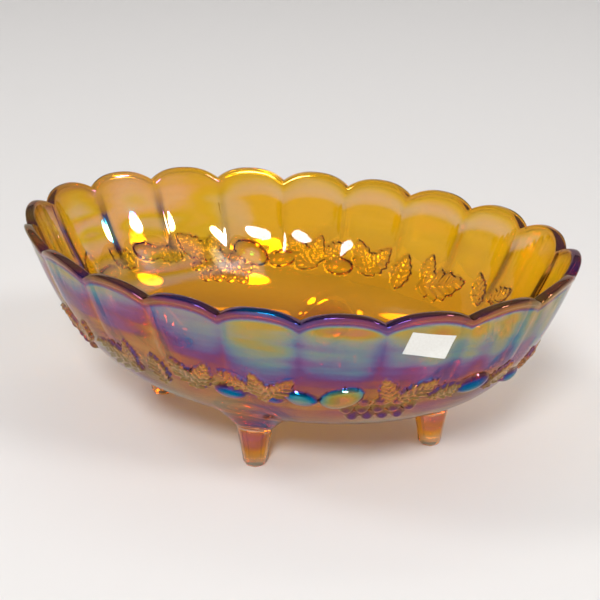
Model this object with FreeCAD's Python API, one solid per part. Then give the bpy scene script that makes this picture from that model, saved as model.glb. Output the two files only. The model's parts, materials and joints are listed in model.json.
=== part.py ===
"""Oval fruit bowl in pressed iridescent glass, on four octagonal feet, with a paper price sticker.

Units are millimetres. The origin is on the table under the bowl's centre, +X runs along the bowl's
length, +Z is up, and the sticker is on the -Y side. The wall has twenty panels. A position along the
wall is counted in panels, from 0 at the joint on +X, counter-clockwise seen from above.
"""
import FreeCAD, Part
import math
import os

Vec = FreeCAD.Vector

# Bowl: plan and height
HALF_LENGTH = 152.5         # centre to the outer wall on +X at joint height
HALF_WIDTH = 99.0           # centre to the outer wall on +Y at joint height
PANELS = 20
PANEL_EVENING = 0.07        # radians, evens out the panel widths round the oval
JOINT_Z = 108.5             # rim height at the joints on the long sides
END_RISE = 2.6              # how much higher the rim is at the two ends
LOBE_HEIGHT = 6.0           # rise of each scallop above its joints
LOBE_POWER = 2.4            # higher is flatter-topped
PANEL_BOW = 0.8             # how far each panel swells outwards between its joints
BOW_POWER = 3               # higher is flatter in the middle of a panel
BOW_FADE_Z = (62.0, 84.0)   # the panels fade into the plain lower wall between these heights

# Bowl: wall, each surface rises as (distance from the centre) ** WALL_POWER
WALL_POWER = 5.75
BASE_Z = 28.0               # underside
FLOOR_Z = 35.0              # inside floor
RIM_THICKNESS = 6.2
FLAT_SHARE = 0.40           # share of the plan that is flat under the base and inside on the floor

# Sampling of the wall surfaces
PANEL_STEPS = 8
WALL_ROWS = 12

# Feet
FOOT_PLACE = 0.54           # share of the half length and half width
FOOT_SIDES = 8
FOOT_SECTIONS = (           # height, width across the flats
    (0.0, 9.6), (1.6, 12.2), (9.0, 13.8), (18.0, 16.8), (24.0, 20.0), (29.0, 24.5), (44.0, 31.0))

# Relief
RELIEF_SINK = 1.2           # how deep relief bodies are bedded in the wall
GRAPE_RADIUS = 3.8
GRAPE_PITCH = 7.7
GRAPE_ROW_STEP = 6.7
GRAPE_ROWS = (3, 5, 4)
LEAF_PROUD = 1.4            # how far a leaf stands off the wall
LEAF_OUTLINE = (            # along from the stalk to the tip, half width, as shares of the half length
    (-0.92, 0.16), (-0.68, 0.42), (-0.58, 0.34), (-0.30, 0.60), (-0.20, 0.46), (0.08, 0.60),
    (0.16, 0.44), (0.42, 0.46), (0.48, 0.32), (0.72, 0.26))

# One half of the garland. The other half is the same turned by half a circle.
# kind, position in panels, height, size, tilt in degrees
HALF_GARLAND = (
    ("leaf", 10.15, 67.0, 11.0, 60.0),
    ("fruit", 10.7, 61.0, 8.0, 10.0),
    ("grapes", 11.45, 56.5, 1.0, 2.0),
    ("leaf", 11.9, 70.0, 10.0, 50.0),
    ("leaf", 12.35, 68.0, 10.5, -25.0),
    ("leaf", 13.05, 62.5, 17.0, 68.0),
    ("leaf", 13.4, 69.5, 9.5, 5.0),
    ("leaf", 13.85, 64.0, 12.0, 10.0),
    ("leaf", 14.3, 66.5, 12.5, 35.0),
    ("leaf", 14.6, 67.0, 12.5, -25.0),
    ("leaf", 15.1, 68.5, 11.0, 55.0),
    ("fruit", 15.0, 60.0, 9.0, -4.0),
    ("leaf", 15.45, 66.5, 12.0, 15.0),
    ("leaf", 15.75, 66.5, 12.0, -40.0),
    ("fruit", 15.66, 58.5, 5.5, 0.0),
    ("fruit", 16.05, 61.0, 8.5, -10.0),
    ("fruit", 16.6, 63.5, 12.0, 26.0),
    ("leaf", 17.2, 69.0, 10.5, 12.0),
    ("grapes", 17.15, 55.5, 1.0, 4.0),
    ("leaf", 17.6, 68.0, 13.0, -50.0),
    ("leaf", 18.05, 65.0, 10.5, -65.0),
    ("fruit", 18.4, 67.5, 9.5, 25.0),
    ("leaf", 18.9, 67.0, 11.0, -40.0),
    ("fruit", 19.35, 61.0, 8.0, -8.0),
    ("leaf", 19.65, 68.0, 10.5, 15.0),
)
FRUIT_SLIMNESS = 0.58       # radius of a fruit as a share of its half length

# Sticker
STICKER_PANEL = 17.52
STICKER_Z = 97.6
STICKER_WIDTH = 22.0
STICKER_HEIGHT = 13.5
STICKER_TILT = -11.0        # degrees
STICKER_THICKNESS = 0.25
STICKER_GLUE = 0.05
STICKER_STEPS = 6

NEARBY_PANELS = 0.01        # steps for finding the directions along and up the wall
NEARBY_HEIGHT = 0.1
SEWING_GAP = 1e-4


def plan_angle(panel):
    """Angle of the oval's parameter at a position counted in panels."""
    even = 2 * math.pi * panel / PANELS
    return even + PANEL_EVENING * math.sin(2 * even)


def joint_distance(panel):
    """0 in the middle of a panel, 1 at a joint."""
    return abs(2 * (panel % 1.0) - 1)


def rim_height(panel):
    """Height of the scalloped rim."""
    arch = 1 - joint_distance(panel) ** LOBE_POWER
    return JOINT_Z + END_RISE * math.cos(plan_angle(panel)) ** 2 + LOBE_HEIGHT * arch


def bow(panel, height):
    """How far a panel swells out of the plain oval."""
    low, high = BOW_FADE_Z
    share = min(1.0, max(0.0, (height - low) / (high - low)))
    fade = share * share * (3 - 2 * share)
    return PANEL_BOW * fade * (1 - joint_distance(panel) ** BOW_POWER)


def foot_height(inner):
    """Height of the wall surface on the bowl's axis."""
    return FLOOR_Z if inner else BASE_Z


def share_at(height, inner):
    """Distance from the bowl's axis at a height, as a share of the distance at joint height."""
    rise = max(0.0, height - foot_height(inner)) / (JOINT_Z - foot_height(inner))
    return rise ** (1 / WALL_POWER)


def height_at(share, inner):
    """Height of the wall surface at a share of the distance at joint height."""
    return foot_height(inner) + (JOINT_Z - foot_height(inner)) * share ** WALL_POWER


def wall_point(panel, height, inner=False):
    """A point of the outer or inner wall surface at a height above the table."""
    inset = RIM_THICKNESS if inner else 0.0
    share = share_at(height, inner)
    angle = plan_angle(panel)
    across = Vec(math.cos(angle) / HALF_LENGTH, math.sin(angle) / HALF_WIDTH, 0).normalize()
    x = (HALF_LENGTH - inset) * share * math.cos(angle)
    y = (HALF_WIDTH - inset) * share * math.sin(angle)
    return Vec(x, y, height) + across * bow(panel, height)


def wall_column(panel, inner):
    """Points up the wall, from the flat to the rim, closer together where the wall is flattest."""
    rim_share = share_at(rim_height(panel), inner)
    column = []
    for row in range(WALL_ROWS):
        share = FLAT_SHARE + (rim_share - FLAT_SHARE) * row / (WALL_ROWS - 1)
        column.append(wall_point(panel, height_at(share, inner), inner))
    return column


def clamped_knots(count, degree):
    """Knots and multiplicities of an evenly spaced spline that ends on its first and last poles."""
    spans = count - degree
    knots = [index / spans for index in range(spans + 1)]
    multiplicities = [degree + 1] + [1] * (spans - 1) + [degree + 1]
    return knots, multiplicities


def patch(grid):
    """A smooth face over a grid of poles. Patches with the same edge poles share that edge exactly."""
    u_degree = min(3, len(grid) - 1)
    v_degree = min(3, len(grid[0]) - 1)
    u_knots, u_mults = clamped_knots(len(grid), u_degree)
    v_knots, v_mults = clamped_knots(len(grid[0]), v_degree)
    surface = Part.BSplineSurface()
    surface.buildFromPolesMultsKnots(
        grid, u_mults, v_mults, u_knots, v_knots, False, False, u_degree, v_degree)
    return surface.toShape()


def edge_curve(poles):
    """The edge that a patch makes along one side."""
    degree = min(3, len(poles) - 1)
    knots, mults = clamped_knots(len(poles), degree)
    curve = Part.BSplineCurve()
    curve.buildFromPolesMultsKnots(poles, mults, knots, False, degree)
    return curve.toShape()


def closed_solid(faces):
    """Sews faces into one solid."""
    skin = Part.makeCompound(faces)
    skin.sewShape(SEWING_GAP)
    solid = Part.makeSolid(skin.Shells[0])
    if solid.Volume < 0:
        solid.reverse()
    return solid


def make_bowl():
    """The panelled shell: outer wall, inner wall, rim land, underside and floor."""
    faces = []
    flat_edges = {False: [], True: []}
    for panel in range(PANELS):
        grids = {}
        for inner in (False, True):
            grids[inner] = [
                wall_column(panel + step / PANEL_STEPS, inner) for step in range(PANEL_STEPS + 1)]
            faces.append(patch(grids[inner]))
            flat_edges[inner].append(edge_curve([column[0] for column in grids[inner]]))
        outer_top = [column[-1] for column in grids[False]]
        inner_top = [column[-1] for column in grids[True]]
        faces.append(patch([outer_top, inner_top]))
    for inner in (False, True):
        outline = Part.Wire(Part.__sortEdges__(flat_edges[inner]))
        faces.append(Part.Face(outline))
    return closed_solid(faces)


def octagon(centre, height, across_flats):
    """A horizontal octagon with a flat side facing along each axis."""
    radius = across_flats / 2 / math.cos(math.pi / FOOT_SIDES)
    corners = []
    for side in range(FOOT_SIDES + 1):
        angle = (side + 0.5) * 2 * math.pi / FOOT_SIDES
        corners.append(centre + Vec(radius * math.cos(angle), radius * math.sin(angle), height))
    return Part.makePolygon(corners)


def outside_of(body, bowl):
    """What is left of a body once the glass and the inside of the bowl are taken from it."""
    return min(body.cut(bowl).Solids, key=lambda solid: solid.BoundBox.ZMin)


def make_foot(x_side, y_side, bowl):
    """A tapered octagonal foot that flares into the underside of the bowl."""
    centre = Vec(x_side * FOOT_PLACE * HALF_LENGTH, y_side * FOOT_PLACE * HALF_WIDTH, 0)
    sections = [octagon(centre, height, width) for height, width in FOOT_SECTIONS]
    return outside_of(Part.makeLoft(sections, True, True), bowl)


def wall_frame(panel, height):
    """Origin, direction along the wall, direction up the wall and outward normal at a point."""
    origin = wall_point(panel, height)
    before = wall_point(panel - NEARBY_PANELS, height)
    after = wall_point(panel + NEARBY_PANELS, height)
    below = wall_point(panel, height - NEARBY_HEIGHT)
    above = wall_point(panel, height + NEARBY_HEIGHT)
    along = (after - before).normalize()
    normal = along.cross(above - below).normalize()
    return origin, along, normal.cross(along), normal


def placed(shape, panel, height, tilt, sink=0.0):
    """Puts a body modelled about the origin (X along, Y up, Z out) on the wall."""
    origin, along, up, normal = wall_frame(panel, height)
    turn = math.radians(tilt)
    x_axis = along * math.cos(turn) + up * math.sin(turn)
    y_axis = normal.cross(x_axis)
    start = origin - normal * sink
    matrix = FreeCAD.Matrix(
        x_axis.x, y_axis.x, normal.x, start.x,
        x_axis.y, y_axis.y, normal.y, start.y,
        x_axis.z, y_axis.z, normal.z, start.z,
        0, 0, 0, 1)
    body = shape.copy()
    body.Placement = FreeCAD.Placement(matrix)
    return body


def fruit_body(half_length):
    """A plum-like spheroid with its long axis along X."""
    radius = half_length * FRUIT_SLIMNESS
    ellipse = Part.Ellipse(Vec(0, 0, 0), half_length, radius)
    arch = Part.Arc(ellipse, 0, math.pi).toShape()
    chord = Part.makeLine(Vec(-half_length, 0, 0), Vec(half_length, 0, 0))
    outline = Part.Face(Part.Wire([arch, chord]))
    return outline.revolve(Vec(0, 0, 0), Vec(1, 0, 0), 360)


def leaf_body(half_length):
    """A flat toothed leaf whose stalk is at the bottom and whose tip points along Y."""
    right = [Vec(wide, along, 0) for along, wide in LEAF_OUTLINE]
    left = [Vec(-wide, along, 0) for along, wide in reversed(LEAF_OUTLINE)]
    corners = [Vec(0, -1, 0)] + right + [Vec(0, 1, 0)] + left
    corners = [corner * half_length - Vec(0, 0, 2 * RELIEF_SINK) for corner in corners]
    outline = Part.Face(Part.makePolygon(corners + corners[:1]))
    return outline.extrude(Vec(0, 0, 2 * RELIEF_SINK + LEAF_PROUD))


def panel_width(panel, height):
    """Width of one panel's worth of wall about a position."""
    return (wall_point(panel + 0.5, height) - wall_point(panel - 0.5, height)).Length


def moved_along_wall(panel, height, x, y, tilt):
    """The position reached by going x along and y up in a frame that is tilted on the wall."""
    turn = math.radians(tilt)
    sideways = x * math.cos(turn) - y * math.sin(turn)
    upwards = x * math.sin(turn) + y * math.cos(turn)
    up = wall_frame(panel, height)[2]
    return panel + sideways / panel_width(panel, height), height + upwards * up.z


def grape_places(panel, height, tilt):
    """Positions of the grapes of one bunch, row by row, as (panel, height)."""
    places = []
    for row, count in enumerate(GRAPE_ROWS):
        upwards = ((len(GRAPE_ROWS) - 1) / 2 - row) * GRAPE_ROW_STEP
        for berry in range(count):
            sideways = (berry - (count - 1) / 2) * GRAPE_PITCH
            places.append(moved_along_wall(panel, height, sideways, upwards, tilt))
    return places


def item_bodies(kind, panel, height, size, tilt):
    """The bodies of one item of the garland."""
    if kind == "grapes":
        berry = Part.makeSphere(GRAPE_RADIUS)
        places = grape_places(panel, height, tilt)
        return [placed(berry, place, level, 0.0, RELIEF_SINK) for place, level in places]
    if kind == "fruit":
        return [placed(fruit_body(size), panel, height, tilt, RELIEF_SINK)]
    return [placed(leaf_body(size), panel, height, tilt)]


def make_relief(kind, taken):
    """All the relief of one kind, cut flush with the wall and with the relief already made."""
    pieces = []
    for item_kind, panel, height, size, tilt in HALF_GARLAND:
        if item_kind != kind:
            continue
        for half_turn in (0, PANELS / 2):
            for body in item_bodies(kind, panel + half_turn, height, size, tilt):
                near = [other for other in taken + pieces if other.BoundBox.intersect(body.BoundBox)]
                pieces.append(max(body.cut(near).Solids, key=lambda solid: solid.Volume))
    return pieces


def make_sticker():
    """A thin label that follows the wall of its panel."""
    normal = wall_frame(STICKER_PANEL, STICKER_Z)[3]
    layers = []
    for lift in (STICKER_GLUE, STICKER_GLUE + STICKER_THICKNESS):
        grid = []
        for column in range(STICKER_STEPS + 1):
            line = []
            for row in range(STICKER_STEPS + 1):
                x = (column / STICKER_STEPS - 0.5) * STICKER_WIDTH
                y = (row / STICKER_STEPS - 0.5) * STICKER_HEIGHT
                place = moved_along_wall(STICKER_PANEL, STICKER_Z, x, y, STICKER_TILT)
                line.append(wall_point(*place) + normal * lift)
            grid.append(line)
        layers.append(grid)
    glued, printed = layers
    faces = [patch(glued), patch(printed)]
    for edge in (0, -1):
        faces.append(patch([glued[edge], printed[edge]]))
        faces.append(patch([[line[edge] for line in glued], [line[edge] for line in printed]]))
    return closed_solid(faces)


def main():
    os.makedirs("parts", exist_ok=True)
    bowl = make_bowl()
    nodes = {"bowl": bowl}
    nodes["foot_front"] = make_foot(0, -1, bowl)
    nodes["foot_back"] = make_foot(0, 1, bowl)
    nodes["foot_left"] = make_foot(-1, 0, bowl)
    nodes["foot_right"] = make_foot(1, 0, bowl)
    fruit = make_relief("fruit", [bowl])
    grapes = make_relief("grapes", [bowl] + fruit)
    leaves = make_relief("leaf", [bowl] + fruit + grapes)
    nodes["garland_fruit"] = Part.makeCompound(fruit)
    nodes["garland_grapes"] = Part.makeCompound(grapes)
    nodes["garland_leaves"] = Part.makeCompound(leaves)
    nodes["price_sticker"] = make_sticker()
    for name, shape in nodes.items():
        shape.exportStep(f"parts/{name}.step")


main()
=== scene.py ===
"""Looks of the iridescent pressed-glass fruit bowl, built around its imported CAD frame.

Shapes are worked out in millimetres with the bowl's own driving dimensions and written in metres.
A position along the wall is counted in panels, from 0 at the joint on +X, counter-clockwise from
above. A row of the wall is given by its share: 0 on the bowl's axis, 1 at the wall's joint height.
"""
import bpy
import json
import math
import numpy as np
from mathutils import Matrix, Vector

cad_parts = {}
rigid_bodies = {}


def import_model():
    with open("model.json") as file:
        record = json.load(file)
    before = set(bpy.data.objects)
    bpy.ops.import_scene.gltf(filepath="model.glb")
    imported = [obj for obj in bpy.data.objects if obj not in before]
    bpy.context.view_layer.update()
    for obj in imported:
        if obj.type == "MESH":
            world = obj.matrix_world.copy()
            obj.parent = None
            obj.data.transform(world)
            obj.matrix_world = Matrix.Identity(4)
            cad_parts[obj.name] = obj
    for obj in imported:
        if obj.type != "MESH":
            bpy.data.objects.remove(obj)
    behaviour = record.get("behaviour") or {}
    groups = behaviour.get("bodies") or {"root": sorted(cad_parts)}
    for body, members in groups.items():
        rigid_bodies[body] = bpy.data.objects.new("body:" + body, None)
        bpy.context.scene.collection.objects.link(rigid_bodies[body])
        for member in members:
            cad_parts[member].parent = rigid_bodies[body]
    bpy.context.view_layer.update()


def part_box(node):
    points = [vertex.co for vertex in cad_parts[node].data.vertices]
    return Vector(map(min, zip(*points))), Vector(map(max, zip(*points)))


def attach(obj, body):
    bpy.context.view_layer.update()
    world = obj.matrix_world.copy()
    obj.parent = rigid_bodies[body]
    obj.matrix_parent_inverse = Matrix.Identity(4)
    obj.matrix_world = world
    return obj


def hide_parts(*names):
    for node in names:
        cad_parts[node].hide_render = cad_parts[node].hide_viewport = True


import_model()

MM = 0.001

# Bowl, as in the CAD
HALF_LENGTH = 152.5
HALF_WIDTH = 99.0
PANELS = 20
PANEL_EVENING = 0.07
JOINT_Z = 108.5
END_RISE = 2.6
LOBE_HEIGHT = 6.0
LOBE_POWER = 2.4
PANEL_BOW = 0.8
BOW_POWER = 3
WALL_POWER = 5.75
BASE_Z = 28.0
FLOOR_Z = 35.0
RIM_THICKNESS = 6.2

# Finer shape that only the looks have
BOW_FADE_Z = (59.0, 72.0)   # the panels fade into the lower wall between these heights
BOW_ROUNDING = 9.0          # the panels' lower ends are this much higher at the joints
INNER_BOW = 1.9             # the inside is scooped a little deeper than the outside swells
GROOVE_DEPTH = 0.12         # thin groove along each outer joint
GROOVE_WIDTH = 0.035        # in panels
GROOVE_FADE_Z = (66.0, 72.0)
LIP_PROUD = 0.45            # the rim's band stands off the panels
RIM_PROFILE = (             # distance in from the outer wall, height under the rim
    (0.0, 4.6), (0.0, 3.9), (-0.10, 3.55), (-0.38, 3.25), (-LIP_PROUD, 2.9), (-LIP_PROUD, 2.3),
    (-0.38, 1.6), (-0.12, 0.95), (0.35, 0.45), (1.0, 0.14), (1.9, 0.0), (3.2, -0.06), (4.5, 0.0),
    (5.3, 0.2), (5.85, 0.65), (6.12, 1.3), (6.2, 2.2))

# Mesh density of the glass
BAND_COLUMNS = 960
COLUMNS = 480
BASE_ROWS = 34
BAND_ROWS = 50
PANEL_ROWS = 12
INNER_ROWS = 26
FIRST_SHARE = 0.08          # first ring round the middle of the underside
LAST_SHARE = 0.06           # last ring round the middle of the inside floor
BAND_SAMPLES = 400          # for spacing the band's rows evenly along the wall
BAND_Z = (44.0, 81.0)       # the garland lies between these heights

# Garland, one half; the other half is the same turned by half a circle
# kind, position in panels, height, size, tilt in degrees, film thickness at its middle in nm
HALF_GARLAND = (
    ("leaf", 10.15, 67.0, 11.0, 60.0, 91.0),
    ("fruit", 10.7, 61.0, 8.0, 10.0, 141.0),
    ("grapes", 11.45, 56.5, 1.0, 2.0, 116.0),
    ("leaf", 11.9, 70.0, 10.0, 50.0, 93.0),
    ("leaf", 12.35, 68.0, 10.5, -25.0, 90.0),
    ("leaf", 13.05, 62.5, 17.0, 68.0, 88.0),
    ("leaf", 13.4, 69.5, 9.5, 5.0, 95.0),
    ("leaf", 13.85, 64.0, 12.0, 10.0, 91.0),
    ("leaf", 14.3, 66.5, 12.5, 35.0, 89.0),
    ("leaf", 14.6, 67.0, 12.5, -25.0, 92.0),
    ("leaf", 15.1, 68.5, 11.0, 55.0, 93.0),
    ("fruit", 15.0, 60.0, 9.0, -4.0, 144.0),
    ("leaf", 15.45, 66.5, 12.0, 15.0, 90.0),
    ("leaf", 15.75, 66.5, 12.0, -40.0, 92.0),
    ("fruit", 15.66, 58.5, 5.5, 0.0, 132.0),
    ("fruit", 16.05, 61.0, 8.5, -10.0, 155.0),
    ("fruit", 16.6, 63.5, 12.0, 28.0, 196.0),
    ("leaf", 17.2, 69.0, 10.5, 12.0, 92.0),
    ("grapes", 17.15, 55.5, 1.0, 4.0, 116.0),
    ("leaf", 17.6, 68.0, 13.0, -50.0, 92.0),
    ("leaf", 18.05, 65.0, 10.5, -65.0, 90.0),
    ("fruit", 18.4, 67.5, 9.5, 25.0, 151.0),
    ("leaf", 18.9, 67.0, 11.0, -40.0, 91.0),
    ("fruit", 19.35, 61.0, 8.0, -8.0, 145.0),
    ("leaf", 19.65, 68.0, 10.5, 15.0, 91.0),
)
FRUIT_SLIMNESS = 0.58
FRUIT_PROUD = 0.62          # height of a fruit as a share of its radius
GRAPE_RADIUS = 3.8
GRAPE_PITCH = 7.7
GRAPE_ROW_STEP = 6.7
GRAPE_ROWS = (3, 5, 4)
GRAPE_SINK = 1.3
LEAF_OUTLINE = (            # along from the stalk to the tip, half width, as shares of the half length
    (-1.0, 0.0), (-0.92, 0.16), (-0.68, 0.42), (-0.58, 0.34), (-0.30, 0.60), (-0.20, 0.46),
    (0.08, 0.60), (0.16, 0.44), (0.42, 0.46), (0.48, 0.32), (0.72, 0.26), (1.0, 0.0))
LEAF_PROUD = 1.5
LEAF_EDGE = 1.5             # width of the slope at a leaf's edge
LEAF_CUP = 0.7              # how much higher the edges are than the middle vein
VEIN_PITCH = 0.30           # between side veins, as a share of the half length
VEIN_SLANT = 0.85
VEIN_HEIGHT = 0.9
MIDDLE_VEIN_HEIGHT = 0.5
MIDDLE_VEIN_WIDTH = 0.9     # half width
LEAF_WIDEST = 0.60          # largest half width in the outline
ITEM_REACH = 1.5            # an item is looked for within this many times its size

# Paint of the relief, as shares of the item's own film thickness, and as lustre and painted shade, which
# darkens the creases round the items' edges and between the leaves' veins
FRUIT_EDGE_FILM = 0.62
GRAPE_EDGE_FILM = 0.72
GRAPE_FILM_GAIN = 0.34
GRAPE_EDGE_LUSTRE = 0.5
GRAPE_LUSTRE_GAIN = 0.6
LEAF_BETWEEN_VEINS = 0.45   # how much of a vein's paint is left between the veins
LEAF_EDGE_FILM = 1.6
LEAF_FILM_FALL = 0.65
LEAF_FILM_SPEED = 1.5
LEAF_LUSTRE_FALL = 0.7
# painted shade round the leaves' edges and in the valleys between their veins
LEAF_SHADE = 0.9
LEAF_SHADE_POWER = 1.3

# Sticker
STICKER_PANEL = 17.52
STICKER_Z = 97.6
STICKER_WIDTH = 22.0
STICKER_HEIGHT = 13.5
STICKER_TILT = -11.0        # degrees
STICKER_GLUE = 0.06
STICKER_THICKNESS = 0.14
STICKER_CURL = 0.9          # how far its lower corner has lifted
STICKER_COLUMNS = 33
STICKER_ROWS = 21

# Feet
FOOT_SIDES = 8
FOOT_COLUMNS = 64
FOOT_SECTIONS = (
    (0.0, 9.6), (1.6, 12.2), (9.0, 13.8), (18.0, 16.8), (24.0, 19.0), (32.0, 22.0))
FOOT_RINGS = (0.0, 0.35, 0.9, 1.6, 3.0, 6.0, 9.0, 12.0, 15.0, 18.0, 21.0, 24.0, 27.0, 30.0, 32.0)
FOOT_CORNER = 0.9           # softness of the octagon's corners
FOOT_ROUND_Z = (16.0, 30.0) # the octagon turns round between these heights
FOOT_NODES = ("foot_front", "foot_back", "foot_left", "foot_right")
FLARE_DROP = 12.5           # how far the underside is drawn down at a foot
FLARE_INSIDE = 3.0
FLARE_REACH = 29.0
FLARE_POWER = 2.2

# Lustre film. Thicknesses are in nm. Lustre and painted shade run from 0 to 1.
FILM_INDEX = 2.2
NAMED_INDEX = 2.5           # film thicknesses here are the ones a film of this index would need
STREAKINESS = 0.6           # how much the film thickness wanders from place to place
STREAK_SCALE = (14, 14, 110)
FACING_FADE = (-0.75, 0.55) # lustre goes from faint to heavy between these, 1 being the very front
BACK_LUSTRE = 0.15
BASE_LUSTRE = 0.1
# painted shade darkening the underside below the garland
BASE_SHADE = 0.45
RIM_SHADE = 0.3
LUSTRE_FADE_Z = (34.0, 48.0)
UPPER_FADE_Z = (92.0, 110.0)
UPPER_FADE = 0.4            # how much weaker the lustre is under the rim
FILM_LOW = 100.0            # thickness at the lower ends of the panels
FILM_RISE_Z = (69.0, 110.0)
FILM_RISE_TOP = 1.2         # the rise is cut off at this share of its span
FILM_GAIN = 84.0            # added towards the rim
FILM_POWER = 0.75
LEFT_GAIN = 78.0            # added instead on the panels at the front's left
LEFT_POWER = 3
LEFT_START = (10.0, 11.0)   # those panels, fading in and out
LEFT_END = (14.0, 15.2)
BASE_GAIN = 12.0
BACK_GAIN = 12.0
JOINT_DIP = 20.0            # thinner along the joints
JOINT_DIP_POWER = 4
JOINT_DIP_Z = (72.0, 84.0)
FILM_WAVES = (              # slow changes round the bowl: nm, radians per panel, start
    (6.0, 2.1, 0.0),
    (5.0, 5.3, 1.0))
END_STRIPES = 24.0          # stripes at the bowl's two ends
END_STRIPE_PITCH = 14.0
END_STRIPE_Z = (70.0, 84.0)
RIM_FILM = 96.0
RIM_FRONT_GAIN = 14.0
RIM_WAVE = 7.0
RIM_WAVES = 3
RELIEF_BACK = 0.3           # share of the relief's lustre and painted shade that is left at the back
COVER_HEIGHT = 0.5          # a relief this high wholly covers the wall's own paint
INNER_FILM = 4.0
INNER_LEFT_FILM = 190.0
INNER_LEFT_X = (45.0, 105.0)
INNER_LEFT_Z = (48.0, 62.0)
INNER_SWIRL = (11.0, 6.0)   # mm across and up per radian
INNER_SWIRL_SHARE = 0.4
INNER_JOINT = (0.78, 0.96)  # the painted shade line along each inner joint, as a joint distance
INNER_JOINT_SHADE = 1.5
FOOT_FILM = 110.0
FOOT_TIP_FILM = 64.0
FOOT_LUSTRE = 0.12
FOOT_TIP_Z = (3.0, 14.0)
FILM_TOP = 240.0
FILM_COLOURS = (            # film thickness in nm, tint of the glass behind it
    (10.0, (0.85, 0.62, 0.16)),
    (50.0, (0.66, 0.36, 0.05)),
    (88.0, (0.42, 0.15, 0.02)),
    (102.0, (0.28, 0.05, 0.04)),
    (116.0, (0.16, 0.04, 0.09)),
    (130.0, (0.26, 0.05, 0.12)),
    (142.0, (0.22, 0.08, 0.09)),
    (155.0, (0.16, 0.12, 0.03)),
    (170.0, (0.16, 0.15, 0.02)),
    (190.0, (0.34, 0.20, 0.02)),
    (220.0, (0.34, 0.10, 0.10)))
PAINT_LAYERS = ("film", "lustre", "shade")

# Glass and paper
GLASS_INDEX = 1.5
GLASS_ROUGHNESS = 0.04
CLEAR_TINT = (1.0, 0.56, 0.015)
PAINTED_SHADE_TINT = (0.012, 0.004, 0.005)
ABSORBED_TO = (0.98, 0.878, 0.02)
ABSORPTION = 230.0
PAPER_LOW = (0.70, 0.69, 0.64)
PAPER_HIGH = (0.82, 0.82, 0.79)
PAPER_ROUGHNESS = 0.8
FIBRE_SCALE = 900.0
FIBRE_STRENGTH = 0.25
FIBRE_DEPTH = 0.0001        # metres
SMOOTH_ANGLE = 50           # degrees, sharper edges stay sharp

# Stage, camera and light, in metres, radians and watts unless a name or comment says otherwise
COVE_RADIUS = 3.0
COVE_CURVE = 0.8
COVE_HEIGHT = 1.7
COVE_MIDDLE = 0.3           # first ring of the floor
COVE_COLUMNS = 96
COVE_ROWS = 12
COVE_COLOUR = (0.80, 0.775, 0.75)
COVE_ROUGHNESS = 0.6
CAMERA_PLACE = (0.2259, -0.5821, 0.3607)
CAMERA_YAW = 0.362
CAMERA_PITCH = 0.431
CAMERA_LENS = 74.1          # mm on a sensor 36 mm wide
SENSOR_WIDTH = 36.0
CLIP_START = 0.01
KEY_DISTANCE = 2.6
KEY_SIZE = (0.65, 0.65)
KEY_LIGHTS = (              # degrees to the right of the front, degrees up, watts
    ("key_front", 12, 45, 40.0),
    ("key_right", 78, 46, 17.0),
    ("key_left", -72, 52, 11.0))
WASH_PLACE = (0, 0.5, 1.5)
WASH_TARGET = (-0.5, 1.6, 0.5)
WASH_SIZE = (1.2, 0.5)
WASH_POWER = 3.5
WINDOW_TARGET = (0, 0, 0.07)
WINDOWS = (                 # place, size, watts; seen only as reflections in the glass
    ("front_window", (0.05, -1.34, 0.66), (0.60, 0.20), 7.0),
    ("right_window", (1.24, -0.58, 0.68), (0.30, 0.22), 3.8))
SKY = (                     # height in the sky from 0 to 1, colour
    (0.35, (0.09, 0.09, 0.10)),
    (0.85, (0.38, 0.39, 0.41)))


def smoothstep(low, high, value):
    """0 up to low, 1 from high on, with a soft rise between them."""
    share = np.clip((value - low) / (high - low), 0.0, 1.0)
    return share * share * (3 - 2 * share)


def plan_angle(panel):
    """Angle of the oval's parameter at a position counted in panels."""
    even = 2 * np.pi * panel / PANELS
    return even + PANEL_EVENING * np.sin(2 * even)


def joint_distance(panel):
    """0 in the middle of a panel, 1 at a joint."""
    return np.abs(2 * (panel % 1.0) - 1)


def rim_height(panel):
    """Height of the scalloped rim."""
    arch = 1 - joint_distance(panel) ** LOBE_POWER
    return JOINT_Z + END_RISE * np.cos(plan_angle(panel)) ** 2 + LOBE_HEIGHT * arch


def share_at(height, inner):
    """Share of the plan at which the wall reaches a height."""
    foot = FLOOR_Z if inner else BASE_Z
    return (np.maximum(0.0, height - foot) / (JOINT_Z - foot)) ** (1 / WALL_POWER)


def wall(panel, share, inner=False):
    """Points of the plain outer or inner wall, in millimetres."""
    panel, share = np.broadcast_arrays(np.asarray(panel, float), np.asarray(share, float))
    foot = FLOOR_Z if inner else BASE_Z
    inset = RIM_THICKNESS if inner else 0.0
    height = foot + (JOINT_Z - foot) * share ** WALL_POWER
    angle = plan_angle(panel)
    outward = np.stack([np.cos(angle) / HALF_LENGTH, np.sin(angle) / HALF_WIDTH], -1)
    outward /= np.linalg.norm(outward, axis=-1, keepdims=True)
    scoop = smoothstep(*BOW_FADE_Z, height - BOW_ROUNDING * joint_distance(panel) ** 2)
    swell = (INNER_BOW if inner else PANEL_BOW) * scoop * (1 - joint_distance(panel) ** BOW_POWER)
    if not inner:
        nearness = np.maximum(0.0, 1 - (1 - joint_distance(panel)) / (2 * GROOVE_WIDTH))
        swell = swell - GROOVE_DEPTH * nearness ** 2 * smoothstep(*GROOVE_FADE_Z, height)
    x = (HALF_LENGTH - inset) * share * np.cos(angle) + outward[..., 0] * swell
    y = (HALF_WIDTH - inset) * share * np.sin(angle) + outward[..., 1] * swell
    return np.stack([x, y, height], -1)


def unit(vector):
    """The same direction with a length of one."""
    return vector / np.linalg.norm(vector, axis=-1, keepdims=True)


def wall_normal(panel, share):
    """Outward direction of the outer wall."""
    step = 1e-3
    along = wall(panel + step, share) - wall(panel - step, share)
    up = wall(panel, share + step) - wall(panel, share - step)
    return unit(np.cross(along, up))


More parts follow.
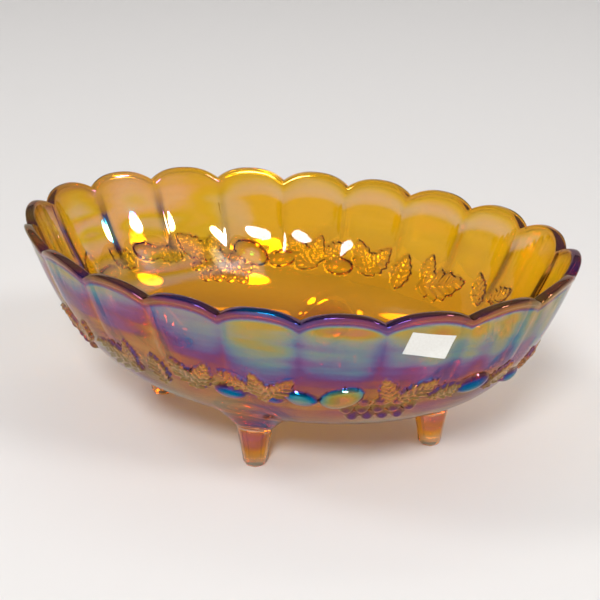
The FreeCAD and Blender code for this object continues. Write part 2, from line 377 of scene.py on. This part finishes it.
def wall_frame(panel, height):
    """Origin, direction along the wall, direction up the wall and outward normal."""
    share = share_at(height, False)
    origin = wall(panel, share)
    along = unit(wall(panel + 0.01, share) - wall(panel - 0.01, share))
    normal = wall_normal(panel, share)
    return origin, along, np.cross(normal, along), normal


def fruit_relief(x, y, size):
    """Height of a plum-like fruit, then its share of the film, its lustre and its painted shade, darkest
    round its edge.
    """
    radius = size * FRUIT_SLIMNESS
    dome = np.sqrt(np.maximum(0.0, 1 - (x / size) ** 2 - (y / radius) ** 2))
    film_share = FRUIT_EDGE_FILM + (1 - FRUIT_EDGE_FILM) * dome
    return radius * FRUIT_PROUD * dome, film_share, np.ones_like(dome), (1 - dome) ** 2


def grape_relief(x, y, size):
    """The same for one round grape, with painted shade darkest round its edge."""
    dome = np.sqrt(np.maximum(0.0, size ** 2 - x ** 2 - y ** 2))
    rise = np.maximum(0.0, dome - GRAPE_SINK)
    middle = rise / size
    film_share = GRAPE_EDGE_FILM + GRAPE_FILM_GAIN * middle
    return rise, film_share, GRAPE_EDGE_LUSTRE + GRAPE_LUSTRE_GAIN * middle, (1 - middle) ** 3


def leaf_relief(x, y, size):
    """The same for a toothed, veined leaf with its stalk at the bottom and its tip along y."""
    along, aside = y / size, np.abs(x) / size
    known_along, known_wide = zip(*LEAF_OUTLINE)
    outline = np.interp(along, known_along, known_wide, left=0.0, right=0.0)
    inside = smoothstep(0.0, LEAF_EDGE, (outline - aside) * size)
    veins = np.abs(((along - VEIN_SLANT * aside) / VEIN_PITCH) % 1.0 - 0.5) * 2
    middle_vein = np.maximum(0.0, 1 - aside * size / MIDDLE_VEIN_WIDTH)
    rise = LEAF_PROUD + VEIN_HEIGHT * (veins - 0.5) + LEAF_CUP * (aside / LEAF_WIDEST - 0.5)
    rise = inside * (rise + MIDDLE_VEIN_HEIGHT * middle_vein)
    middle = inside * (LEAF_BETWEEN_VEINS + (1 - LEAF_BETWEEN_VEINS) * veins)
    film_share = LEAF_EDGE_FILM - LEAF_FILM_FALL * np.minimum(1.0, LEAF_FILM_SPEED * middle)
    # painted shade: darker at the leaf's edges and in the valleys between its veins
    shade = LEAF_SHADE * (1 - middle) ** LEAF_SHADE_POWER
    return rise, film_share, 1.0 - LEAF_LUSTRE_FALL * middle, shade


RELIEFS = {"fruit": fruit_relief, "grapes": grape_relief, "leaf": leaf_relief}


def moved_along_wall(panel, height, x, y, tilt):
    """The position reached by going x along and y up in a frame that is tilted on the wall."""
    turn = math.radians(tilt)
    share = share_at(height, False)
    width = np.linalg.norm(wall(panel + 0.5, share) - wall(panel - 0.5, share))
    sideways = x * math.cos(turn) - y * math.sin(turn)
    upwards = x * math.sin(turn) + y * math.cos(turn)
    up = wall_frame(panel, height)[2]
    return panel + sideways / width, height + upwards * up[2]


def grape_places(panel, height, tilt):
    """Positions of the grapes of one bunch, as (panel, height)."""
    places = []
    for row, count in enumerate(GRAPE_ROWS):
        upwards = ((len(GRAPE_ROWS) - 1) / 2 - row) * GRAPE_ROW_STEP
        for berry in range(count):
            sideways = (berry - (count - 1) / 2) * GRAPE_PITCH
            places.append(moved_along_wall(panel, height, sideways, upwards, tilt))
    return places


def garland_items():
    """Every single relief item, with bunches split into grapes."""
    items = []
    for kind, panel, height, size, tilt, film in HALF_GARLAND:
        for half_turn in (0, PANELS / 2):
            if kind == "grapes":
                for place, level in grape_places(panel + half_turn, height, tilt):
                    items.append((kind, place, level, GRAPE_RADIUS, 0.0, film))
            else:
                items.append((kind, panel + half_turn, height, size, tilt, film))
    return items


def garland(points):
    """Rise of the relief at wall points, its film, lustre and painted shade, and how much it covers."""
    rise = np.zeros(len(points))
    paint_here = np.zeros((len(points), 3))
    cover = np.zeros(len(points))
    for kind, panel, height, size, tilt, middle_film in garland_items():
        origin, along, up, normal = wall_frame(panel, height)
        turn = math.radians(tilt)
        x_axis = along * math.cos(turn) + up * math.sin(turn)
        y_axis = np.cross(normal, x_axis)
        offset = points - origin
        near = np.flatnonzero((offset ** 2).sum(1) < (ITEM_REACH * size) ** 2)
        relief = RELIEFS[kind](offset[near] @ x_axis, offset[near] @ y_axis, size)
        item_rise, film_share, lustre, shade = relief
        higher = item_rise > rise[near]
        chosen = near[higher]
        rise[chosen] = item_rise[higher]
        paint_here[chosen] = np.stack([middle_film * film_share, lustre, shade], -1)[higher]
        cover[chosen] = smoothstep(0.0, COVER_HEIGHT, item_rise[higher])
    return rise, paint_here, cover


def flared(points):
    """Draws the underside down into a trumpet round each foot."""
    for centre_x, centre_y in foot_centres():
        away = np.hypot(points[:, 0] - centre_x, points[:, 1] - centre_y)
        pull = 1 - smoothstep(FLARE_INSIDE, FLARE_REACH, away)
        points[:, 2] -= FLARE_DROP * pull ** FLARE_POWER
    return points


def foot_centres():
    """Middles of the feet in millimetres, from the frame."""
    centres = []
    for node in FOOT_NODES:
        low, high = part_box(node)
        centres.append(((low.x + high.x) / 2 / MM, (low.y + high.y) / 2 / MM))
    return centres


class Rings:
    """Closed rings of points joined into one skin. A ring may have half the points of the last."""

    def __init__(self, pole):
        self.points = [np.array([pole])]
        self.extra = [np.zeros((1, 3))]
        self.faces = []
        self.last = None
        self.total = 1

    def add(self, ring, extra):
        """Adds a ring with its paint and joins it to the one before."""
        start, count = self.total, len(ring)
        here = np.arange(start, start + count)
        self.points.append(ring)
        self.extra.append(extra)
        self.total += count
        following = np.roll(here, -1)
        if self.last is None:
            self.faces += [(0, b, a) for a, b in zip(here, following)]
        elif len(self.last) == count:
            below, below_next = self.last, np.roll(self.last, -1)
            self.faces += list(zip(below, below_next, following, here))
        else:
            self.stitch(self.last, here)
        self.last = here

    def stitch(self, below, here):
        """Joins two rings, one with twice the points of the other."""
        doubling = len(here) > len(below)
        fine, coarse = (here, below) if doubling else (below, here)
        for index in range(len(coarse)):
            a, b = coarse[index], coarse[(index + 1) % len(coarse)]
            p, q, r = fine[2 * index], fine[2 * index + 1], fine[(2 * index + 2) % len(fine)]
            if doubling:
                self.faces += [(a, q, p), (a, b, q), (b, r, q)]
            else:
                self.faces += [(p, q, a), (q, b, a), (q, r, b)]

    def close(self, pole, extra):
        """Closes the skin with one last point."""
        self.points.append(np.array([pole]))
        self.extra.append(extra)
        following = np.roll(self.last, -1)
        self.faces += [(a, b, self.total) for a, b in zip(self.last, following)]
        self.total += 1


def bowl_skin():
    """Points, faces and (film thickness, lustre, painted shade) of the bowl, feet not included."""
    fine = np.arange(BAND_COLUMNS) * PANELS / BAND_COLUMNS
    coarse = np.arange(COLUMNS) * PANELS / COLUMNS
    skin = Rings(np.array([0.0, 0.0, BASE_Z]))
    add_underside(skin, coarse)
    add_band(skin, fine)
    add_panels(skin, coarse)
    add_rim(skin, coarse)
    add_inside(skin, coarse)
    return np.concatenate(skin.points), skin.faces, np.concatenate(skin.extra)


def add_underside(skin, panel):
    """From the axis out to the lower edge of the garland's band."""
    for share in np.linspace(FIRST_SHARE, share_at(BAND_Z[0], False), BASE_ROWS)[:-1]:
        ring = wall(panel, share)
        skin.add(flared(ring.copy()), outer_film(ring, panel))


def add_band(skin, panel):
    """The band of the garland, with its rows evenly spaced along the wall."""
    low, high = (share_at(z, False) for z in BAND_Z)
    steps = np.linspace(0, 1, BAND_SAMPLES)
    trial = wall(0.5, low + (high - low) * steps)
    length = np.concatenate([[0], np.cumsum(np.linalg.norm(np.diff(trial, axis=0), axis=1))])
    even = np.interp(np.linspace(0, length[-1], BAND_ROWS), length, steps)
    for share in low + (high - low) * even:
        ring = wall(panel, share)
        rise, relief_paint, cover = garland(ring)
        extra = outer_film(ring, panel)
        # the relief's lustre and painted shade fade towards the back
        relief_paint[:, 1:] *= (RELIEF_BACK + (1 - RELIEF_BACK) * facing(panel))[:, None]
        extra += (relief_paint - extra) * cover[:, None]
        skin.add(flared(ring + wall_normal(panel, share) * rise[:, None]), extra)


def add_panels(skin, panel):
    """The outer wall from the band up to the rim."""
    low = BAND_Z[1]
    high = rim_height(panel) - RIM_PROFILE[0][1]
    for step in np.arange(1, PANEL_ROWS) / PANEL_ROWS:
        ring = wall(panel, share_at(low + (high - low) * step, False))
        skin.add(ring, outer_film(ring, panel))


def add_rim(skin, panel):
    """The rounded rim, from the outer wall over to the inner one."""
    film = RIM_FILM + RIM_FRONT_GAIN * facing(panel) + RIM_WAVE * np.sin(plan_angle(panel) * RIM_WAVES)
    lustre = BACK_LUSTRE + (1 - BACK_LUSTRE) * facing(panel)
    extra = np.stack([film, lustre, RIM_SHADE * facing(panel)], -1)
    for inwards, down in RIM_PROFILE:
        height = rim_height(panel) - down
        outer = wall(panel, share_at(height, False))
        inner = wall(panel, share_at(height, True), True)
        ring = outer + (inner - outer) * inwards / RIM_THICKNESS
        ring[:, 2] = height
        skin.add(ring, extra)


def add_inside(skin, panel):
    """The inner wall and floor, down to the axis."""
    top = share_at(rim_height(panel) - RIM_PROFILE[-1][1], True)
    for step in np.linspace(1, 0, INNER_ROWS + 1)[1:]:
        ring = wall(panel, LAST_SHARE + (top - LAST_SHARE) * step, True)
        skin.add(ring, inner_film(ring, panel))
    middle = np.array([[0.0, 0.0, FLOOR_Z]])
    skin.close(middle[0], inner_film(middle, np.zeros(1)))


def facing(panel):
    """1 at the front of the bowl, where the lustre is heavy, falling to 0 at the back."""
    return smoothstep(*FACING_FADE, -np.sin(plan_angle(panel)))


def outer_film(ring, panel):
    """Film thickness in nm, lustre and painted shade of the plain outer wall; the painted shade darkens
    the underside.
    """
    z = ring[:, 2]
    up = np.clip((z - FILM_RISE_Z[0]) / (FILM_RISE_Z[1] - FILM_RISE_Z[0]), 0, FILM_RISE_TOP)
    above_base = smoothstep(*LUSTRE_FADE_Z, z)
    left = smoothstep(*LEFT_START, panel) * (1 - smoothstep(*LEFT_END, panel))
    film = FILM_LOW + FILM_GAIN * up ** FILM_POWER * (1 - left) + LEFT_GAIN * up ** LEFT_POWER * left
    film -= JOINT_DIP * joint_distance(panel) ** JOINT_DIP_POWER * smoothstep(*JOINT_DIP_Z, z)
    film += BASE_GAIN * (1 - above_base) + BACK_GAIN * (1 - facing(panel)) * (1 - up)
    for size, pitch, start in FILM_WAVES:
        film += size * np.sin(panel * pitch + start)
    ends = np.cos(plan_angle(panel)) ** 4 * smoothstep(*END_STRIPE_Z, z)
    film += END_STRIPES * ends * np.sin(panel * END_STRIPE_PITCH)
    lustre = BACK_LUSTRE + (1 - BACK_LUSTRE) * facing(panel)
    lustre *= 1 - UPPER_FADE * smoothstep(*UPPER_FADE_Z, z)
    lustre *= BASE_LUSTRE + (1 - BASE_LUSTRE) * above_base
    # painted shade: the wall is darkened below the lustre's fade heights
    return np.stack([film, lustre, BASE_SHADE * (1 - above_base)], -1)


def inner_film(ring, panel):
    """Film thickness in nm, lustre and painted shade of the inside: the film faint but for the left end,
    the painted shade along the joints.
    """
    x, y, z = ring.T
    ends = np.cos(plan_angle(panel)) ** 2
    joint = smoothstep(*INNER_JOINT, joint_distance(panel)) * smoothstep(*BOW_FADE_Z, z)
    left = smoothstep(*INNER_LEFT_X, -x) * smoothstep(*INNER_LEFT_Z, z)
    swirl = np.sin(y / INNER_SWIRL[0]) * np.sin(z / INNER_SWIRL[1])
    film = INNER_FILM + INNER_LEFT_FILM * left * (1 - INNER_SWIRL_SHARE * (1 - swirl))
    # painted shade: dark lines along the inner joints, strongest towards the bowl's two ends
    shade = np.minimum(1.0, INNER_JOINT_SHADE * joint * ends)
    return np.stack([film, np.zeros(len(ring)), shade], -1)


def foot_skin(centre_x, centre_y):
    """Points and faces of one octagonal tapered foot, closed, in millimetres."""
    turn = np.arange(FOOT_COLUMNS) * 2 * np.pi / FOOT_COLUMNS
    sector = 2 * np.pi / FOOT_SIDES
    off_flat = (turn + sector / 2) % sector - sector / 2
    sharp = 1 / np.cos(off_flat)
    known_z, known_width = zip(*FOOT_SECTIONS)
    widths = np.interp(FOOT_RINGS, known_z, known_width)
    skin = Rings(np.array([centre_x, centre_y, 0.0]))
    for z, width in zip(FOOT_RINGS, widths):
        corner = 1 + (sharp - 1) * (1 - smoothstep(*FOOT_ROUND_Z, z))
        reach = width / 2 * np.minimum(corner, 1 + (1 / math.cos(sector / 2) - 1) * FOOT_CORNER)
        ring = np.stack([
            centre_x + reach * np.cos(turn), centre_y + reach * np.sin(turn), np.full(len(turn), z)], -1)
        skin.add(ring, np.zeros((len(ring), 3)))
    skin.close(np.array([centre_x, centre_y, FOOT_RINGS[-1]]), np.zeros((1, 3)))
    return np.concatenate(skin.points), skin.faces


def mesh_object(name, points, faces):
    """A new object in the scene from points in millimetres."""
    mesh = bpy.data.meshes.new(name)
    mesh.from_pydata((points * MM).tolist(), [], [tuple(int(i) for i in face) for face in faces])
    mesh.validate()
    made = bpy.data.objects.new(name, mesh)
    bpy.context.scene.collection.objects.link(made)
    return made


def paint(made, values):
    """Stores the surface's film thickness, lustre and painted shade on its points."""
    for index, name in enumerate(PAINT_LAYERS):
        attribute = made.data.attributes.new(name, "FLOAT", "POINT")
        attribute.data.foreach_set("value", values[:, index].astype(np.float32))


def make_glass():
    """The whole pressing as one closed skin: bowl, rim, relief and feet."""
    points, faces, extra = bowl_skin()
    glass = mesh_object("glass_bowl", points, faces)
    paint(glass, extra)
    for node, centre in zip(FOOT_NODES, foot_centres()):
        foot = mesh_object(node + "_cut", *foot_skin(*centre))
        height = np.array([vertex.co.z for vertex in foot.data.vertices]) / MM
        tip = 1 - smoothstep(*FOOT_TIP_Z, height)
        film = FOOT_FILM + (FOOT_TIP_FILM - FOOT_FILM) * tip
        paint(foot, np.stack([film, FOOT_LUSTRE * (1 - tip), np.zeros_like(tip)], -1))
        join = glass.modifiers.new(node, "BOOLEAN")
        join.operation = "UNION"
        join.solver = "MANIFOLD"
        join.object = foot
    graph = bpy.context.evaluated_depsgraph_get()
    joined = bpy.data.meshes.new_from_object(glass.evaluated_get(graph))
    glass.modifiers.clear()
    glass.data = joined
    for made in [o for o in bpy.data.objects if o.name.endswith("_cut")]:
        bpy.data.objects.remove(made)
    for polygon in glass.data.polygons:
        polygon.use_smooth = True
    glass.data.set_sharp_from_angle(angle=math.radians(SMOOTH_ANGLE))
    return glass


def attribute(tree, name):
    """Output that reads one of the painted layers."""
    node = tree.nodes.new("ShaderNodeAttribute")
    node.attribute_name = name
    return node.outputs["Fac"]


def calculated(tree, operation, *values):
    """Output of one step of arithmetic; each value is a number or another node's output."""
    node = tree.nodes.new("ShaderNodeMath")
    node.operation = operation
    for socket, value in zip(node.inputs, values):
        if isinstance(value, float):
            socket.default_value = value
        else:
            tree.links.new(value, socket)
    return node.outputs[0]


def blended(tree, share, first, second):
    """Output of a colour blend; each colour is a triple or another node's output."""
    node = tree.nodes.new("ShaderNodeMix")
    node.data_type = "RGBA"
    tree.links.new(share, node.inputs["Factor"])
    for name, colour in (("A", first), ("B", second)):
        if isinstance(colour, tuple):
            node.inputs[name].default_value = (*colour, 1)
        else:
            tree.links.new(colour, node.inputs[name])
    return node.outputs["Result"]


def noise(tree, scale, detail, stretch=None):
    """Output of a noise in the object's own coordinates, stretched if asked."""
    place = tree.nodes.new("ShaderNodeTexCoord").outputs["Object"]
    if stretch:
        mapping = tree.nodes.new("ShaderNodeMapping")
        mapping.inputs["Scale"].default_value = stretch
        tree.links.new(place, mapping.inputs["Vector"])
        place = mapping.outputs["Vector"]
    node = tree.nodes.new("ShaderNodeTexNoise")
    node.inputs["Scale"].default_value = scale
    node.inputs["Detail"].default_value = detail
    tree.links.new(place, node.inputs["Vector"])
    return node.outputs["Fac"]


def new_material(name):
    """A material, its node tree and its main shader."""
    material = bpy.data.materials.new(name)
    material.use_nodes = True
    return material, material.node_tree, material.node_tree.nodes["Principled BSDF"]


def rainbow(tree, film):
    """Tint of the glass behind a film, by the film's thickness."""
    node = tree.nodes.new("ShaderNodeValToRGB")
    stops = node.color_ramp.elements
    for stop, (thickness, colour) in zip(stops, (FILM_COLOURS[0], FILM_COLOURS[-1])):
        stop.position = thickness / FILM_TOP
        stop.color = (*colour, 1)
    for thickness, colour in FILM_COLOURS[1:-1]:
        stops.new(thickness / FILM_TOP).color = (*colour, 1)
    tree.links.new(calculated(tree, "DIVIDE", film, FILM_TOP), node.inputs["Fac"])
    return node.outputs["Color"]


def glass_material():
    """Amber glass: absorption colours the body, a thin film and a tint colour the surface, and painted
    shade darkens the tint.
    """
    material, tree, shader = new_material("amber_lustre_glass")
    shader.inputs["Transmission Weight"].default_value = 1.0
    shader.inputs["IOR"].default_value = GLASS_INDEX
    shader.inputs["Roughness"].default_value = GLASS_ROUGHNESS
    shader.inputs["Thin Film IOR"].default_value = FILM_INDEX

    streaks = noise(tree, 1.0, 3.0, STREAK_SCALE)
    varied = calculated(tree, "MULTIPLY_ADD", streaks, STREAKINESS, 1 - STREAKINESS / 2)
    film = calculated(tree, "MULTIPLY", varied, attribute(tree, "film"))
    real = calculated(tree, "MULTIPLY", film, NAMED_INDEX / FILM_INDEX)
    tree.links.new(real, shader.inputs["Thin Film Thickness"])

    tint = blended(tree, attribute(tree, "lustre"), CLEAR_TINT, rainbow(tree, film))
    # painted shade: the shade layer darkens the tint in the relief's creases, on the underside and along
    # the inner joints; it also darkens the front of the rim
    shaded_tint = blended(tree, attribute(tree, "shade"), tint, PAINTED_SHADE_TINT)
    tree.links.new(shaded_tint, shader.inputs["Base Color"])

    volume = tree.nodes.new("ShaderNodeVolumeAbsorption")
    volume.inputs["Color"].default_value = (*ABSORBED_TO, 1)
    volume.inputs["Density"].default_value = ABSORPTION
    tree.links.new(volume.outputs["Volume"], tree.nodes["Material Output"].inputs["Volume"])
    return material


def make_sticker():
    """A thin paper label that follows the wall, with one corner lifting."""
    across = np.linspace(-0.5, 0.5, STICKER_COLUMNS)
    upward = np.linspace(-0.5, 0.5, STICKER_ROWS)
    points = []
    for lift in (STICKER_GLUE, STICKER_GLUE + STICKER_THICKNESS):
        for x in across:
            for y in upward:
                place, height = moved_along_wall(
                    STICKER_PANEL, STICKER_Z, x * STICKER_WIDTH, y * STICKER_HEIGHT, STICKER_TILT)
                origin, _, _, normal = wall_frame(place, height)
                corner = smoothstep(0.62, 1.0, 0.5 * (x - y) + 0.5)
                points.append(origin + normal * (lift + STICKER_CURL * corner))
    last = STICKER_COLUMNS * STICKER_ROWS
    border = [(column, 0) for column in range(STICKER_COLUMNS - 1)]
    border += [(STICKER_COLUMNS - 1, row) for row in range(STICKER_ROWS - 1)]
    border += [(column, STICKER_ROWS - 1) for column in range(STICKER_COLUMNS - 1, 0, -1)]
    border += [(0, row) for row in range(STICKER_ROWS - 1, 0, -1)]
    edge = [column * STICKER_ROWS + row for column, row in border]
    faces = [(a, b, b + last, a + last) for a, b in zip(edge, edge[1:] + edge[:1])]
    for column in range(STICKER_COLUMNS - 1):
        for row in range(STICKER_ROWS - 1):
            a = column * STICKER_ROWS + row
            b = a + STICKER_ROWS
            faces += [(a, a + 1, b + 1, b), (a + last, b + last, b + 1 + last, a + 1 + last)]
    return mesh_object("paper_label", np.array(points), faces)


def paper_material():
    """Slightly aged white paper with fine fibres."""
    material, tree, shader = new_material("sticker_paper")
    shader.inputs["Roughness"].default_value = PAPER_ROUGHNESS
    fibres = noise(tree, FIBRE_SCALE, 4.0)
    tree.links.new(blended(tree, fibres, PAPER_LOW, PAPER_HIGH), shader.inputs["Base Color"])
    bump = tree.nodes.new("ShaderNodeBump")
    bump.inputs["Strength"].default_value = FIBRE_STRENGTH
    bump.inputs["Distance"].default_value = FIBRE_DEPTH
    tree.links.new(fibres, bump.inputs["Height"])
    tree.links.new(bump.outputs["Normal"], shader.inputs["Normal"])
    return material


def cove_material():
    """Plain pale floor and wall."""
    material, _, shader = new_material("pale_cove")
    shader.inputs["Base Color"].default_value = (*COVE_COLOUR, 1)
    shader.inputs["Roughness"].default_value = COVE_ROUGHNESS
    return material


def make_stage():
    """A pale round floor that curves up into a low wall all the way round."""
    flat = COVE_RADIUS - COVE_CURVE
    outline = [(COVE_MIDDLE, 0.0), (flat, 0.0)]
    for step in range(1, COVE_ROWS + 1):
        angle = math.radians(90 * step / COVE_ROWS)
        outline.append((flat + COVE_CURVE * math.sin(angle), COVE_CURVE * (1 - math.cos(angle))))
    outline.append((COVE_RADIUS, COVE_HEIGHT))
    cove = Rings(np.zeros(3))
    turn = np.arange(COVE_COLUMNS) * 2 * np.pi / COVE_COLUMNS
    for radius, z in outline:
        ring = np.stack([radius * np.cos(turn), radius * np.sin(turn), np.full(len(turn), z)], -1)
        cove.add(ring / MM, np.zeros((len(ring), 3)))
    faces = [tuple(reversed(face)) for face in cove.faces]
    floor = mesh_object("studio_cove", np.concatenate(cove.points), faces)
    for polygon in floor.data.polygons:
        polygon.use_smooth = True
    floor.data.materials.append(cove_material())


def make_camera():
    """The view from the front, a little from the right and above."""
    data = bpy.data.cameras.new("camera")
    data.sensor_width = SENSOR_WIDTH
    data.lens = CAMERA_LENS
    data.clip_start = CLIP_START
    camera = bpy.data.objects.new("camera", data)
    camera.location = CAMERA_PLACE
    camera.rotation_euler = (math.pi / 2 - CAMERA_PITCH, 0, CAMERA_YAW)
    bpy.context.scene.collection.objects.link(camera)
    bpy.context.scene.camera = camera


def area_light(name, place, target, size, power):
    """A soft oval lamp at a place, aimed at a target."""
    data = bpy.data.lights.new(name, "AREA")
    data.shape = "ELLIPSE"
    data.size, data.size_y = size
    data.energy = power
    lamp = bpy.data.objects.new(name, data)
    lamp.location = place
    direction = Vector(target) - Vector(place)
    lamp.rotation_euler = direction.to_track_quat("-Z", "Y").to_euler()
    bpy.context.scene.collection.objects.link(lamp)
    return lamp


def make_sky():
    """A dim grey sky, lighter towards the top."""
    world = bpy.data.worlds.new("studio")
    bpy.context.scene.world = world
    world.use_nodes = True
    tree = world.node_tree
    direction = tree.nodes.new("ShaderNodeTexCoord")
    split = tree.nodes.new("ShaderNodeSeparateXYZ")
    shade = tree.nodes.new("ShaderNodeValToRGB")
    for stop, (height, colour) in zip(shade.color_ramp.elements, SKY):
        stop.position = height
        stop.color = (*colour, 1)
    tree.links.new(direction.outputs["Generated"], split.inputs[0])
    tree.links.new(split.outputs["Z"], shade.inputs["Fac"])
    tree.links.new(shade.outputs["Color"], tree.nodes["Background"].inputs["Color"])


def make_light():
    """Three soft lamps, a wash on the wall behind, and two windows for the glass to reflect."""
    for name, turn, rise, power in KEY_LIGHTS:
        turn, rise = math.radians(turn), math.radians(rise)
        flat = KEY_DISTANCE * math.cos(rise)
        place = (flat * math.sin(turn), -flat * math.cos(turn), KEY_DISTANCE * math.sin(rise))
        key = area_light(name, place, (0, 0, 0), KEY_SIZE, power)
        key.visible_glossy = False
    wash = area_light("backdrop_wash", WASH_PLACE, WASH_TARGET, WASH_SIZE, WASH_POWER)
    wash.visible_glossy = False
    for name, place, size, power in WINDOWS:
        window = area_light(name, place, WINDOW_TARGET, size, power)
        window.visible_diffuse = False


make_camera()
make_stage()
make_sky()
make_light()
glass = make_glass()
glass.data.materials.clear()
glass.data.materials.append(glass_material())
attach(glass, "root")
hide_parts("bowl", *FOOT_NODES, "garland_fruit", "garland_grapes", "garland_leaves")
label = make_sticker()
label.data.materials.append(paper_material())
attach(label, "root")
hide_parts("price_sticker")
bpy.context.scene.view_settings.view_transform = "Standard"
